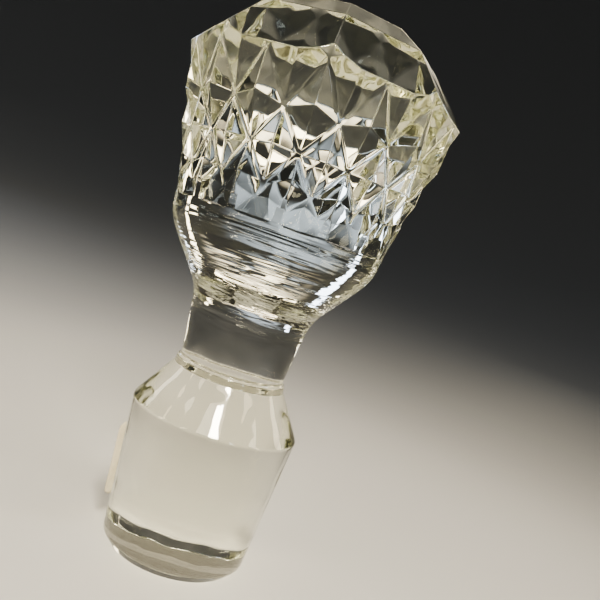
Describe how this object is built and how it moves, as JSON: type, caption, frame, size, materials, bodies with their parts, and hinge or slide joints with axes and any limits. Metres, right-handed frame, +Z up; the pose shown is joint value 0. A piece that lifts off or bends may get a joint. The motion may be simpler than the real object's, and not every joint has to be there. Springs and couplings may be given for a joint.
{
  "type": "decanter stopper",
  "caption": "Solid cut-crystal decanter stopper: diamond-cut knob with a facetted crown and flat table, smooth waist, short neck and ground tapered plug with a small blank paper label.",
  "frame": {"origin": "centre of the plug's flat foot, where the stopper stands upright", "axes": "+Z up the stopper's axis from the foot to the table on top; -Y towards one ridge of the crown"},
  "size_m": [0.0468, 0.0468, 0.0952],
  "materials": {
    "lead_crystal": "cut and polished",
    "label_paper": "matt uncoated paper"
  },
  "bodies": {
    "root": {"crystal_stopper": "lead_crystal", "paper_label": "label_paper"}
  },
  "joints": []
}
